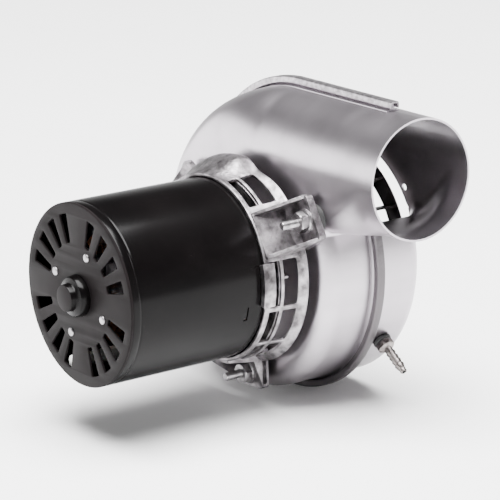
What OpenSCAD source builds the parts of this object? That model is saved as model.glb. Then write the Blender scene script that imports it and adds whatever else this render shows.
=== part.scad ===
// Combustion fan (draft inducer): an enclosed motor with a ventilated mounting collar, a two-piece
// deep-drawn scroll with a clamped seam and a round outlet, and an impeller on the motor shaft.
// The shaft lies along Y, with the motor towards -Y. The outlet points along +X. +Z is up.
// The origin is the centre of the inlet opening, on the rear mounting face. All sizes are in mm.

/* [Scroll housing] */
// Depth of the scroll, and outside diameter of its outlet
housing_depth = 56; // [54:0.5:58]
// Sheet thickness of the drawn shells
sheet_t = 0.9; // [0.7:0.1:1.2]
// Radius of the scroll's arc on the outlet side
arc_r_right = 63.5; // [63:0.25:64]
// Radius of the scroll's arc at the bottom left
arc_r_bottom = 66; // [65.5:0.25:66.5]
// Radius of the scroll's arc at the top left
arc_r_left = 75.5; // [75:0.25:76]
// Height of the outlet's centre line above the shaft
outlet_z = 49; // [48:0.5:50]
// Distance of the outlet's rim from the shaft
outlet_x = 86; // [84:0.5:92]
// Length of the plain round spigot at the outlet's end
spigot_len = 9; // [7:0.5:12]
// Corner radius around the front face
front_corner_r = 10; // [8:0.5:11]
// Corner radius around the rear face
rear_corner_r = 6; // [5:0.5:6.5]
// Radius of the inlet opening in the rear face
inlet_r = 49.5; // [49:0.1:49.8]

/* [Seam] */
// Height of the seam's clamping strip above the wall
seam_h = 4.4; // [3.6:0.1:5]
// Width of the seam's clamping strip
seam_w = 4.4; // [4:0.2:6.4]
// Distance of the seam strip's upper end from the shaft
seam_end_x = 68; // [60:0.5:70]

/* [Motor] */
// Outside diameter of the motor shell
motor_d = 84; // [84:0.1:84.2]
// Distance from the rear mounting face to the motor's vented end
motor_face_y = 154; // [153:0.5:156]
// Diameter of the shaft
shaft_d = 7.94; // [7.9:0.02:8]
// Length of the stator's lamination stack
stack_len = 30; // [26:1:32]
// Thickness of the vented end plate
plate_t = 1.2; // [1:0.1:1.4]
// Pitch of the vent slots, in degrees
slot_pitch = 18; // [17.5:0.5:18]

/* [Collar] */
// Length of the collar, from its front ring to its rear flange
collar_len = 20.7; // [20:0.1:21]
// Radius of the circle of mounting studs
stud_circle_r = 54; // [53.5:0.1:54.5]
// Angle of the first lug from the outlet side, in degrees
lug_angle = 31; // [30:0.5:32]
// Width of a lug's end plate
lug_w = 22; // [20:0.5:23]
// Distance of a lug's outer edge from the shaft
lug_r = 60.5; // [60:0.5:62]

/* [Impeller] */
// Outside radius of the impeller
wheel_r = 48.5; // [47:0.25:48.5]
// Inside radius of the impeller's inlet ring
eye_r = 39; // [37:0.5:40]
// Number of blades
blade_count = 20; // [16:1:24]

/* [Pressure tap] */
// Angle of the tap around the scroll's right-hand arc, in degrees
tap_angle = -35; // [-40:1:-30]
// Distance of the tap from the rear face
tap_y = 16; // [15:0.5:18]

/* [Hidden] */
$fn = 96;
eps = 0.01;
fit_gap = 0.05;

// Scroll: three arcs meet tangentially, each with its own centre, and end in the straight top wall
y_front = -housing_depth;
y_seam = -housing_depth / 2;
outlet_r = housing_depth / 2;
top_z = outlet_z + outlet_r;
floor_z = outlet_z - outlet_r;
c_left = [0, top_z - arc_r_left];
c_bottom = [arc_r_bottom - arc_r_left, c_left[1]];
c_right = [c_bottom[0], c_bottom[1] - arc_r_bottom + arc_r_right];
tongue_a = asin((floor_z - c_right[1]) / arc_r_right);
tongue_x = c_right[0] + arc_r_right * cos(tongue_a);
neck_x0 = tongue_x - 4;
neck_x1 = outlet_x - spigot_len;
neck_r0 = (outlet_r - rear_corner_r) * sqrt(2) + rear_corner_r;

// Seam: a hem on each shell, held by a folded strip
hem_h = seam_h - 1.2;
hem_w = seam_w / 2 - sheet_t - fit_gap;
strip_foot = 0.4;
seam_start_a = tongue_a - 2;
// The right-hand arc runs on into the neck, so that the two join without a notch
tongue_lap = 12;

// Rear mounting holes and clearance for the studs
mount_circle_r = 52.4;
mount_angle = 38.4;
mount_hole_r = 1.6;
stud_hole_r = 2.2;
shaft_hole_r = 7;

// Collar stations along Y, counted from the lug's rear face
spacer_len = 2.6;
lug_back = y_front - spacer_len;
lug_t = 3.6;
lug_front = lug_back - lug_t;
flange_back = lug_front + 0.4;
flange_front = flange_back - 4;
collar_front = flange_back - collar_len;
front_band_y = collar_front + 3;
web_front = front_band_y + 4.7;
web_back = web_front + 2.1;
motor_r = motor_d / 2;
collar_r0 = motor_r + 1.9;
collar_r1 = motor_r + 3.2;
flange_r = motor_r + 5.9;
cage_wall = 2.4;
gusset_t = 2.2;
retainer_t = 0.8;
retainer_circle_r = 15;
retainer_screw_r = 1.45;
LUGS = [for (i = [0:2]) lug_angle + 120 * i];

// Motor stations along Y
shell_t = 0.9;
y_face = -motor_face_y;
shell_front = y_face + plate_t;
shell_back = collar_front + 2.9;
stack_back = shell_back - 12;
stack_front = stack_back - stack_len;
bore_r = 20.6;
rotor_r = 20.2;
stator_r = motor_r - shell_t - fit_gap;
coil_len = 9;
lead_y = (collar_front + stack_back) / 2;
lead_neck_r = 3.2;
coil_w = 4;
liner_t = 0.75;
pole_count = 4;
pole_half_a = 33;
pole_tip_t = 3.4;
yoke_r = 33;
pole_half_w = 8;
coil_r0 = bore_r + pole_tip_t + 0.6;
coil_half_w = pole_half_w + liner_t + fit_gap + coil_w;
coil_r1 = sqrt(yoke_r * yoke_r - coil_half_w * coil_half_w) - 0.1;
shaft_r = shaft_d / 2;
bearing_r = 8;
bearing_len = 8;
bracket_t = 1.2;
rear_bearing_y = shell_front + 0.2;
front_bearing_y = web_back - bearing_len - 0.2;
boss_h = 8;
rivet_circle_r = 20;
rivet_angle = 69;
rivet_r = 1.55;

// Cooling fan and its clip, between the collar's web and the scroll
fan_r = 36;
fan_y = web_back + 3.5;
clip_y = fan_y + 2.75;
clip_t = 0.7;
clip_groove = 0.5;

// Impeller stations along Y
wheel_back = -5;
ring_t = 0.8;
wheel_front = y_front + 4.6;
wheel_plate_t = 1;
hub_r = 10;
hub_len = 14;
shaft_back = wheel_front + hub_len + 3;
shaft_front = y_face - 4;
screw_y = wheel_front + hub_len - 5;

// Stud and nut: number 8 screw size
stud_r = 2.05;
stud_head_r = 2.7;
nut_af = 8.7;
nut_t = 4.6;
stud_front = lug_front - 13.4;

// Tap
tap_base_r = 5;
tap_bore_r = 1.1;
tap_barb_r = 2.3;

// ---------- Helpers ----------

// Extrudes a flat X-Z outline from y0 to y1
module slab(y0, y1) {
  translate([0, y1, 0]) rotate([90, 0, 0]) linear_extrude(y1 - y0) children();
}

// Turns a profile of [radius, y] points about the Y axis, over an angle from +X towards +Z
module turned(points, a0 = 0, sweep = 360, centre = [0, 0]) {
  translate([centre[0], 0, centre[1]]) rotate([90, 0, 0]) rotate([0, 0, a0])
    rotate_extrude(angle = sweep) polygon([for (p = points) [p[0], -p[1]]]);
}

// A round bar, or a ring with a bore, along Y
module ring(r_out, r_in, y0, y1) {
  turned([[r_in, y0], [r_out, y0], [r_out, y1], [r_in, y1]]);
}

// A plain hole or bar along Y, placed by radius and angle about the shaft
module rod_at(radius, angle, r, y0, y1) {
  translate([radius * cos(angle), y1, radius * sin(angle)]) rotate([90, 0, 0]) cylinder(r = r, h = y1 - y0);
}

// Places a child, drawn along +X, at an angle about the Y axis
module at_angle(angle) {
  rotate([0, -angle, 0]) children();
}

// Points on an arc in the X-Z plane
function arc_points(c, r, a0, a1, n) =
  [for (i = [0:n]) let (a = a0 + (a1 - a0) * i / n) [c[0] + r * cos(a), c[1] + r * sin(a)]];

// ---------- Scroll ----------

// Half section of the scroll, inset by t, out to radius r; drawn as radius across and -Y up
module scroll_section(r, t) {
  q1 = front_corner_r - t;
  q2 = rear_corner_r - t;
  translate([0, t]) square([r - t - q1, housing_depth - 2 * t]);
  translate([0, t]) square([r - t - q2, q2 + 1]);
  translate([0, t + q2]) square([r - t, housing_depth - 2 * t - q1 - q2]);
  translate([r - t - q1, housing_depth - t - q1]) circle(r = q1);
  translate([r - t - q2, t + q2]) circle(r = q2);
}

// One of the scroll's arcs, as a solid sector
module scroll_sector(centre, r, a0, sweep, t) {
  translate([centre[0], 0, centre[1]]) rotate([90, 0, 0]) rotate([0, 0, a0])
    rotate_extrude(angle = sweep) scroll_section(r, t);
}

// Y-Z outline of the outlet neck, inset by t: square, with the scroll's corner radii
module neck_outline(t) {
  h = outlet_r - t;
  q1 = front_corner_r - t;
  q2 = rear_corner_r - t;
  translate([-h + q1, -h]) square([2 * h - q1 - q2, 2 * h]);
  translate([-h, -h + q1]) square([q1 + 1, 2 * (h - q1)]);
  translate([h - q2 - 1, -h + q2]) square([q2 + 1, 2 * (h - q2)]);
  for (s = [-1, 1]) {
    translate([-h + q1, s * (h - q1)]) circle(r = q1);
    translate([h - q2, s * (h - q2)]) circle(r = q2);
  }
}

module neck_prism(x0, x1, t) {
  translate([x0, y_seam, outlet_z]) rotate([90, 0, 90]) linear_extrude(x1 - x0) neck_outline(t);
}

// The scroll's outer volume, inset by t on every side
module scroll_volume(t) {
  scroll_sector(c_left, arc_r_left, 90, 90, t);
  scroll_sector(c_bottom, arc_r_bottom, 180, 90, t);
  scroll_sector(c_right, arc_r_right, 270, 90 + tongue_a + tongue_lap, t);
  // The middle of the scroll, between the arcs' centres and the outlet
  translate([c_right[0], y_front + t, c_right[1]])
    cube([arc_r_right - front_corner_r, housing_depth - 2 * t, top_z - front_corner_r - c_right[1]]);
  neck_prism(0, neck_x0, t);
  // The neck turns from square to round as a cone trims its corners
  intersection() {
    neck_prism(neck_x0, neck_x1, t);
    translate([neck_x0, y_seam, outlet_z]) rotate([0, 90, 0])
      cylinder(r1 = neck_r0 - t, r2 = outlet_r - t, h = neck_x1 - neck_x0);
  }
  // The round spigot; its bore runs out through the rim
  translate([neck_x1, y_seam, outlet_z]) rotate([0, 90, 0])
    cylinder(r = outlet_r - t, h = spigot_len + (t > 0 ? 1 : 0));
}

// Keeps what lies between two Y planes
module between_y(y0, y1) {
  intersection() {
    children();
    translate([-150, y0, -150]) cube([300, y1 - y0, 300]);
  }
}

// A band of the seam: profile of [height above the wall, y] points, swept along the outer wall
module along_seam(points) {
  turned([for (p = points) [arc_r_left + p[0], p[1]]], 90, 90, c_left);
  turned([for (p = points) [arc_r_bottom + p[0], p[1]]], 180, 90, c_bottom);
  turned([for (p = points) [arc_r_right + p[0], p[1]]], 270, 90 + seam_start_a, c_right);
  translate([0, 0, top_z]) rotate([90, 0, 90]) linear_extrude(seam_end_x)
    polygon([for (p = points) [p[1], p[0]]]);
}

module hem(y0, y1) {
  along_seam([[-sheet_t / 2, y0], [hem_h, y0], [hem_h, y1], [-sheet_t / 2, y1]]);
}

module front_scroll_shell() {
  color("silver") difference() {
    union() {
      between_y(y_front - 1, y_seam) difference() {
        scroll_volume(0);
        scroll_volume(sheet_t);
      }
      hem(y_seam - hem_w, y_seam);
    }
    rod_at(0, 0, shaft_hole_r, y_front - 1, y_front + 2);
    for (a = LUGS) rod_at(stud_circle_r, a, stud_hole_r, y_front - 1, y_front + 2);
  }
}

module rear_scroll_shell() {
  color("silver") difference() {
    union() {
      between_y(y_seam, 1) difference() {
        scroll_volume(0);
        scroll_volume(sheet_t);
      }
      hem(y_seam, y_seam + hem_w);
    }
    rod_at(0, 0, inlet_r, -3, 1);
    for (i = [0:2]) rod_at(mount_circle_r, mount_angle + 120 * i, mount_hole_r, -3, 1);
    tap_frame() cylinder(r = tap_base_r - 1 + fit_gap, h = 6, center = true);
  }
}

module seam_clamp_strip() {
  half = seam_w / 2;
  inner = half - sheet_t;
  color("lightgray") along_seam([
    [strip_foot, y_seam - half], [seam_h, y_seam - half], [seam_h, y_seam + half],
    [strip_foot, y_seam + half], [strip_foot, y_seam + inner],
    [seam_h - sheet_t, y_seam + inner], [seam_h - sheet_t, y_seam - inner],
    [strip_foot, y_seam - inner]
  ]);
}

// ---------- Studs that hold the motor ----------

module mounting_studs() {
  color("gainsboro") for (a = LUGS) {
    rod_at(stud_circle_r, a, stud_r, stud_front, y_front + sheet_t);
    rod_at(stud_circle_r, a, stud_head_r, y_front + sheet_t, y_front + sheet_t + 1);
  }
}

module stud_spacers() {
  color("dimgray") for (a = LUGS) difference() {
    rod_at(stud_circle_r, a, 7, lug_back, y_front);
    rod_at(stud_circle_r, a, stud_r + fit_gap, lug_back - 1, y_front + 1);
  }
}

module lock_nuts() {
  color("gainsboro") for (a = LUGS)
    translate([stud_circle_r * cos(a), lug_front, stud_circle_r * sin(a)]) rotate([90, 0, 0])
      difference() {
        union() {
          cylinder(r = nut_af / 2 / cos(30), h = nut_t, $fn = 6);
          cylinder(r = 5.4, h = 0.7);
        }
        translate([0, 0, -1]) cylinder(r = stud_r + fit_gap, h = nut_t + 2);
      }
}

// ---------- Motor mounting collar ----------

// Outside radius of the cage wall at a station along Y
function cage_r(y) = collar_r0 + (collar_r1 - collar_r0) * (y - collar_front) / (flange_front - collar_front);

// A window through the cage wall, from y0 to y1 and from angle a0 to a1
module cage_window(y0, y1, a0, a1) {
  turned([[motor_r - 2, y0], [flange_r + 3, y0], [flange_r + 3, y1], [motor_r - 2, y1]], a0, a1 - a0);
}

// One lug: two gussets and an end plate with the stud's hole
module lug() {
  half = lug_w / 2;
  for (z = [-half, half - gusset_t]) translate([0, 0, z])
    linear_extrude(gusset_t) polygon([
      [motor_r - 1, collar_front + 1.5], [collar_r0 - 0.9, collar_front + 1.5],
      [lug_r - 1, lug_front + eps], [motor_r - 1, lug_front + eps]
    ]);
  translate([0, lug_front, 0]) rotate([-90, 0, 0]) difference() {
    linear_extrude(lug_t) union() {
      translate([motor_r - 2, -half]) square([lug_r - motor_r - 0.5, lug_w]);
      translate([lug_r - 4, -half + 2.5]) square([4, lug_w - 5]);
      for (s = [-1, 1]) translate([lug_r - 2.5, s * (half - 2.5)]) circle(r = 2.5);
    }
    translate([stud_circle_r, 0, -1]) cylinder(r = stud_hole_r + 0.1, h = lug_t + 2);
  }
}

module motor_mount_collar() {
  color("darkgray") difference() {
    union() {
      difference() {
        turned([
          [motor_r + fit_gap, collar_front], [collar_r0, collar_front],
          [collar_r1, flange_front], [flange_r, flange_back],
          [flange_r - 3.5, flange_back], [collar_r1 - cage_wall, flange_front + 1],
          [motor_r + fit_gap, web_front]
        ]);
        // Windows on the outlet side, then on the far side
        for (w = [[52, 75], [-13.5, 14.5], [-41.5, -16.5], [-73.5, -44.5],
                  [-134, -106.5], [-163, -136], [-193.5, -165]]) {
          cage_window(front_band_y, web_front, w[0], w[1]);
          cage_window(web_back, flange_front - 0.2, w[0], w[1]);
        }
      }
      // Closed, flared wall between the top window and the upper left lug
      turned([
        [collar_r1 - cage_wall, collar_front + 1], [collar_r0, collar_front + 1],
        [collar_r0 + 5.6, flange_front], [collar_r0 + 5.6, flange_back], [collar_r1 - cage_wall, flange_back]
      ], 78, 54);
      // Raised pad at the front edge
      turned([
        [motor_r + 0.3, collar_front - 1.8], [motor_r + 3.2, collar_front - 1.8],
        [motor_r + 3.2, collar_front + 4.2], [motor_r + 0.3, collar_front + 4.2]
      ], -12, 26);
      // Bearing web, with its hub, between the motor and the cooling fan
      ring(collar_r0, bearing_r + 3, web_front, web_back);
      ring(bearing_r + 3.5, bearing_r, front_bearing_y - 0.2, web_back);
      for (a = LUGS) at_angle(a) lug();
    }
    // Air holes in the web
    for (i = [0:5]) rod_at(27, 30 + 60 * i, 6, web_front - 1, web_back + 1);
    for (i = [0:2])
      rod_at(retainer_circle_r, 90 + 120 * i, retainer_screw_r + fit_gap, web_front - 1, web_back + 1);
  }
}

// ---------- Shaft seal on the scroll's front face ----------

module shaft_seal() {
  color("saddlebrown") ring(14, shaft_r + fit_gap, y_front - 1.6, y_front - eps);
}

module seal_retainer() {
  color("silver") turned([
    [7, y_front - 2.4], [15, y_front - 2.4], [15, y_front - 0.8], [19, y_front - 0.8],
    [19, y_front], [14.1, y_front], [14.1, y_front - 1.6], [7, y_front - 1.6]
  ]);
}

module seal_rivets() {
  color("gainsboro") for (i = [0:2]) rod_at(17, 90 + 120 * i, 1.5, y_front - 1.6, y_front - 0.8);
}

// ---------- Pressure tap ----------

// Places a child with its Z axis out of the scroll's right-hand wall
module tap_frame() {
  translate([c_right[0], -tap_y, c_right[1]]) at_angle(tap_angle)
    translate([arc_r_right, 0, 0]) rotate([0, 90, 0]) children();
}

module pressure_tap() {
  color("silver") tap_frame() difference() {
    rotate_extrude() polygon([
      [0, -2], [3.2, -2], [3.2, 2.2], [3.9, 2.2], [3.9, 5.4], [2, 6], [2, 8.5],
      [tap_barb_r, 8.5], [1.7, 11], [tap_barb_r, 11], [1.7, 13.5], [tap_barb_r, 13.5],
      [1.7, 16], [tap_barb_r, 16], [1.6, 20.4], [0, 20.4]
    ]);
    translate([0, 0, -3]) cylinder(r = tap_bore_r, h = 25);
  }
}

module tap_grommet() {
  color("black") tap_frame() rotate_extrude() polygon([
    [3.2 + fit_gap, -1.8], [tap_base_r, -1.8], [tap_base_r, -sheet_t - 0.3], [tap_base_r - 1, -sheet_t - 0.3],
    [tap_base_r - 1, 0.5], [tap_base_r, 0.5], [tap_base_r, 1.8], [3.2 + fit_gap, 2.15]
  ]);
}

// ---------- Motor casing ----------

// Places a child at the motor leads' hole, with its Z axis out of the shell
module lead_frame() {
  at_angle(200) translate([motor_r, lead_y, 0]) rotate([0, 90, 0]) children();
}

module motor_shell() {
  color([0.12, 0.12, 0.13]) difference() {
    turned([
      [motor_r - shell_t, shell_front], [motor_r - 0.4, shell_front], [motor_r, shell_front + 0.4],
      [motor_r, shell_back], [motor_r - shell_t, shell_back]
    ]);
    lead_frame() cylinder(r = lead_neck_r + fit_gap, h = 4, center = true);
  }
}

// One tapered radial slot of the end plate
module vent_slot(angle) {
  rotate(angle) polygon([[23.8, -1.7], [36.8, -3], [36.8, 3], [23.8, 1.7]]);
}

module vented_end_plate() {
  color([0.3, 0.28, 0.28]) {
    difference() {
      turned([
        [0, y_face - boss_h], [7.2, y_face - boss_h], [7.9, y_face - boss_h + 0.7], [9.8, y_face],
        [motor_r - 0.6, y_face], [motor_r, y_face + 0.6], [motor_r, y_face + plate_t],
        [8.6, y_face + plate_t], [6.6, y_face - boss_h + 1.8], [0, y_face - boss_h + 1.8]
      ]);
      slab(y_face - 1, y_face + plate_t + 1)
        for (g = [0:3], i = [0:3]) vent_slot(90 * g + 45 + slot_pitch * (i - 1.5));
      for (i = [0:3])
        rod_at(rivet_circle_r, rivet_angle + 90 * i, rivet_r + fit_gap, y_face - 1, shell_front + 1);
    }
    // Spigot ring that locates the plate in the shell
    ring(motor_r - shell_t - fit_gap, motor_r - shell_t - 1.1, y_face + plate_t - eps, y_face + plate_t + 3);
  }
}

module end_plate_rivets() {
  color("white") for (i = [0:3]) {
    tail_y = shell_front + bracket_t;
    rod_at(rivet_circle_r, rivet_angle + 90 * i, rivet_r, y_face, tail_y);
    rod_at(rivet_circle_r, rivet_angle + 90 * i, rivet_r + 0.4, y_face - 0.8, y_face);
    rod_at(rivet_circle_r, rivet_angle + 90 * i, rivet_r + 0.7, tail_y, tail_y + 0.8);
  }
}

module rear_bearing_bracket() {
  y0 = shell_front;
  y1 = shell_front + bracket_t;
  color("silver") difference() {
    turned([
      [bearing_r, y0], [23, y0], [23, y1], [bearing_r + bracket_t, y1],
      [bearing_r + bracket_t, y0 + bearing_len + 0.4], [bearing_r, y0 + bearing_len + 0.4]
    ]);
    for (i = [0:3]) rod_at(rivet_circle_r, rivet_angle + 90 * i, rivet_r + fit_gap, y0 - 1, y1 + 1);
  }
}

// ---------- Bearings ----------

module sleeve_bearing(y0) {
  color("peru") ring(bearing_r - 0.02, shaft_r + 0.03, y0, y0 + bearing_len);
}

module rear_bearing() {
  sleeve_bearing(rear_bearing_y);
}

module rear_oil_felt() {
  color("beige") ring(bearing_r + 5, bearing_r + bracket_t + 0.1, shell_front + bracket_t, shell_front + 6);
}

module front_bearing() {
  sleeve_bearing(front_bearing_y);
}

module front_oil_felt() {
  color("beige") ring(bearing_r + 7, bearing_r + 3.6, web_front - 4.2, web_front);
}

module front_bearing_retainer() {
  color("silver") difference() {
    ring(18, shaft_r + 1, web_back, web_back + retainer_t);
    for (i = [0:2])
      rod_at(retainer_circle_r, 90 + 120 * i, retainer_screw_r + fit_gap, web_back - 1, web_back + 2);
  }
}

module retainer_screws() {
  color("gainsboro") for (i = [0:2]) {
    rod_at(retainer_circle_r, 90 + 120 * i, retainer_screw_r, web_front, web_back + retainer_t);
    rod_at(retainer_circle_r, 90 + 120 * i, 2.7, web_back + retainer_t, web_back + retainer_t + 1.5);
  }
}

// ---------- Stator ----------

// Lamination outline: a round yoke with four pole pieces around the bore
module lamination() {
  difference() {
    circle(r = stator_r);
    circle(r = yoke_r);
  }
  for (i = [0:pole_count - 1]) rotate(45 + 90 * i) difference() {
    union() {
      translate([bore_r + 1, -pole_half_w]) square([yoke_r - bore_r, 2 * pole_half_w]);
      intersection() {
        circle(r = bore_r + pole_tip_t);
        polygon([[0, 0], [40, -40 * tan(pole_half_a)], [40, 40 * tan(pole_half_a)]]);
      }
    }
    circle(r = bore_r);
  }
}

module stator_core() {
  color("slategray") slab(stack_front, stack_back) lamination();
}

// One coil wound round a pole, standing out of both ends of the stack, with bevelled corners
module pole_coil() {
  depth = coil_r1 - coil_r0;
  w = coil_half_w - coil_w;
  difference() {
    translate([coil_r0, stack_front - coil_len, -coil_half_w])
      cube([depth, stack_len + 2 * coil_len, 2 * coil_half_w]);
    translate([coil_r0 - 1, stack_front - 1, -w]) cube([depth + 2, stack_len + 2, 2 * w]);
    for (y = [stack_front - coil_len, stack_back + coil_len], z = [-coil_half_w, coil_half_w])
      translate([coil_r0 - 1, y, z]) rotate([45, 0, 0]) translate([0, -coil_w / 2, -coil_w / 2])
        cube([depth + 2, coil_w, coil_w]);
  }
}

module stator_windings() {
  color("chocolate") for (i = [0:pole_count - 1]) at_angle(45 + 90 * i) pole_coil();
}

// Insulating frames between each coil and its pole
module slot_liners() {
  w = pole_half_w + fit_gap;
  depth = coil_r1 - coil_r0;
  color("ivory") for (i = [0:pole_count - 1]) at_angle(45 + 90 * i) difference() {
    translate([coil_r0, stack_front - 0.95, -w - liner_t + fit_gap])
      cube([depth, stack_len + 1.9, 2 * (w + liner_t - fit_gap)]);
    translate([coil_r0 - 1, stack_front - fit_gap, -w]) cube([depth + 2, stack_len + 2 * fit_gap, 2 * w]);
  }
}

module thermal_protector() {
  protector_y = shell_front + 0.6;
  color("white") at_angle(254) translate([35.2, protector_y, 0]) rotate([-90, 0, 0])
    cylinder(r = 3.2, h = stack_front - protector_y);
}

module lead_grommet() {
  flange_r = lead_neck_r + 1.2;
  color("black") lead_frame() rotate_extrude() polygon([
    [1.6, -2.6], [flange_r, -2.6], [flange_r, -1.5], [lead_neck_r, -1.5], [lead_neck_r, 0.4],
    [flange_r, 0.4], [flange_r, 1.5], [flange_r - 0.9, 2.2], [1.6, 2.2]
  ]);
}

// ---------- Rotor ----------

module shaft() {
  color("lightsteelblue") difference() {
    union() {
      rod_at(0, 0, shaft_r, shaft_front + 0.8, shaft_back - 0.8);
      turned([[0, shaft_front], [shaft_r - 0.6, shaft_front], [shaft_r, shaft_front + 0.8 + eps],
              [0, shaft_front + 0.8 + eps]]);
      turned([[0, shaft_back - 0.8 - eps], [shaft_r, shaft_back - 0.8 - eps], [shaft_r - 0.6, shaft_back],
              [0, shaft_back]]);
    }
    // Flat for the set screw, and the groove of the fan's clip
    translate([-10, wheel_front - 2, shaft_r - 0.9]) cube([20, 30, 5]);
    difference() {
      rod_at(0, 0, shaft_r + 1, clip_y - fit_gap, clip_y + clip_t + fit_gap);
      rod_at(0, 0, shaft_r - clip_groove, clip_y - 1, clip_y + 2);
    }
  }
}

module rotor_core() {
  color("slategray") ring(rotor_r, shaft_r, stack_front, stack_back);
}

module rotor_end_rings() {
  color("silver") {
    for (y = [[stack_front - 5, stack_front], [stack_back, stack_back + 5]]) {
      ring(rotor_r - 0.8, 12, y[0], y[1]);
      s = y[0] < stack_front ? -1 : 1;
      for (i = [0:5]) at_angle(60 * i + 30)
        translate([15, s < 0 ? y[0] - 3 : y[1] - eps, -0.8]) cube([3.4, 3 + eps, 1.6]);
    }
  }
}

module thrust_washers() {
  color("black") {
    ring(7.5, shaft_r + fit_gap, rear_bearing_y + bearing_len + 0.3, rear_bearing_y + bearing_len + 1.5);
    ring(7.5, shaft_r + fit_gap, front_bearing_y - 1.7, front_bearing_y - 0.5);
  }
}

module cooling_fan() {
  color("dimgray") {
    ring(9, shaft_r, fan_y, fan_y + 2.6);
    ring(fan_r, 8.9, fan_y, fan_y + 1);
    for (i = [0:7]) at_angle(45 * i) translate([14, fan_y + 0.9, -0.5]) cube([fan_r - 14.5, 4.2, 1]);
  }
}

module fan_clip() {
  color("silver") difference() {
    ring(6.4, shaft_r - clip_groove + fit_gap, clip_y, clip_y + clip_t);
    translate([0, clip_y - 1, -1.6]) cube([10, 3, 3.2]);
  }
}

// ---------- Impeller ----------

module impeller_hub() {
  color("silver") difference() {
    turned([
      [shaft_r, wheel_front - 1.2], [hub_r + 3, wheel_front - 1.2], [hub_r + 3, wheel_front - eps],
      [hub_r, wheel_front - eps], [hub_r, wheel_front + hub_len], [shaft_r, wheel_front + hub_len]
    ]);
    translate([0, screw_y, 0]) cylinder(r = 2.4 + fit_gap, h = hub_r + 5);
  }
}

module hub_set_screw() {
  color([0.2, 0.2, 0.2]) difference() {
    translate([0, screw_y, shaft_r - 0.85]) cylinder(r = 2.4, h = hub_r - shaft_r + 0.4);
    translate([0, screw_y, hub_r - 2.5]) cylinder(r = 1.45, h = 4, $fn = 6);
  }
}

module impeller_back_plate() {
  color("gainsboro") ring(wheel_r, hub_r, wheel_front, wheel_front + wheel_plate_t);
}

// Backward-inclined blades, with a rivet-free folded tab at each end
module impeller_blades() {
  lean = 20;
  blade_r0 = 31;
  y0 = wheel_front + wheel_plate_t;
  y1 = wheel_back - ring_t;
  color("gainsboro") for (i = [0:blade_count - 1]) at_angle(360 / blade_count * i)
    translate([blade_r0, y0, 0]) rotate([0, lean, 0]) cube([17.2, y1 - y0, 0.8]);
}

module impeller_inlet_ring() {
  color("gainsboro") ring(wheel_r, eye_r, wheel_back - ring_t, wheel_back);
}

// ---------- Assembly ----------

front_scroll_shell();
rear_scroll_shell();
seam_clamp_strip();
mounting_studs();
stud_spacers();
lock_nuts();
motor_mount_collar();
shaft_seal();
seal_retainer();
seal_rivets();
pressure_tap();
tap_grommet();
motor_shell();
vented_end_plate();
end_plate_rivets();
rear_bearing_bracket();
rear_bearing();
rear_oil_felt();
front_bearing();
front_oil_felt();
front_bearing_retainer();
retainer_screws();
stator_core();
stator_windings();
slot_liners();
thermal_protector();
lead_grommet();
shaft();
rotor_core();
rotor_end_rings();
thrust_washers();
cooling_fan();
fan_clip();
impeller_hub();
impeller_back_plate();
impeller_blades();
impeller_inlet_ring();
hub_set_screw();
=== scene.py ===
import math

import bmesh
import bpy
from mathutils import Matrix, Vector
from mathutils.geometry import tessellate_polygon


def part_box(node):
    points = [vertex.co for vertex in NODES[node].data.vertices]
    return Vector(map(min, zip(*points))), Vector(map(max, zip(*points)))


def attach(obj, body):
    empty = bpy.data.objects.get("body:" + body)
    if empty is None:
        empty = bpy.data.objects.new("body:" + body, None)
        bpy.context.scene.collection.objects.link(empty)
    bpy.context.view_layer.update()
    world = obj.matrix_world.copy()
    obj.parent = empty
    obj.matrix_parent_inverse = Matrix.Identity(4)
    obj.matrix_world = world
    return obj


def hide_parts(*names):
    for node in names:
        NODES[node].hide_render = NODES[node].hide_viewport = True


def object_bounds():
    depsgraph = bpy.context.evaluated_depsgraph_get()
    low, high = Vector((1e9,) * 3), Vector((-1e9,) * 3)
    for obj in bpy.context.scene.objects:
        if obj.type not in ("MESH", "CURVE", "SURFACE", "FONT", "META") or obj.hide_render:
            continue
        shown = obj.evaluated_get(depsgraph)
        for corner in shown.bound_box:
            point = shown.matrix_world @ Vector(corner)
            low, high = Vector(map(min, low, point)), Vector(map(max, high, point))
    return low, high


# The looks of a combustion fan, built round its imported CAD. The shaft lies along Y, the outlet along +X.
# Pieces are drawn in millimetres and scaled to metres as each mesh is made.
MM = 0.001
# Points closer than this, in millimetres, become one
WELD = 0.004

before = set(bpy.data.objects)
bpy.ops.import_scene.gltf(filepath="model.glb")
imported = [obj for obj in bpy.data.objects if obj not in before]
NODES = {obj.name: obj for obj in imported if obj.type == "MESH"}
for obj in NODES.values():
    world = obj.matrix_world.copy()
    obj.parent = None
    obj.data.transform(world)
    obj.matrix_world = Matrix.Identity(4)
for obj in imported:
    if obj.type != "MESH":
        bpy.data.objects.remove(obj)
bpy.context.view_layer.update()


# ---------- Sizes in millimetres, from the frame or as in the CAD ----------

def low(node, axis):
    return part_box(node)[0][axis] / MM


def high(node, axis):
    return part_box(node)[1][axis] / MM


X, Y, Z = range(3)
# Thickness of the drawn sheets
SHEET = 0.9
Y_FRONT = low("front_scroll_shell", Y)
Y_SEAM = Y_FRONT / 2
TOP_Z = 49 - Y_SEAM
OUTLET_X = high("front_scroll_shell", X)
OUTLET_R = -Y_SEAM
FLOOR_Z = TOP_Z - 2 * OUTLET_R
SPIGOT_X = OUTLET_X - 9

# The scroll's wall: three arcs about their own centres, as (centre x, centre z, radius)
ARC_RIGHT = (-9.5, -1.0, 63.5)
ARC_BOTTOM = (-9.5, 1.5, 66.0)
ARC_LEFT = (0.0, 1.5, 75.5)
INLET_R = 49.5

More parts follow.
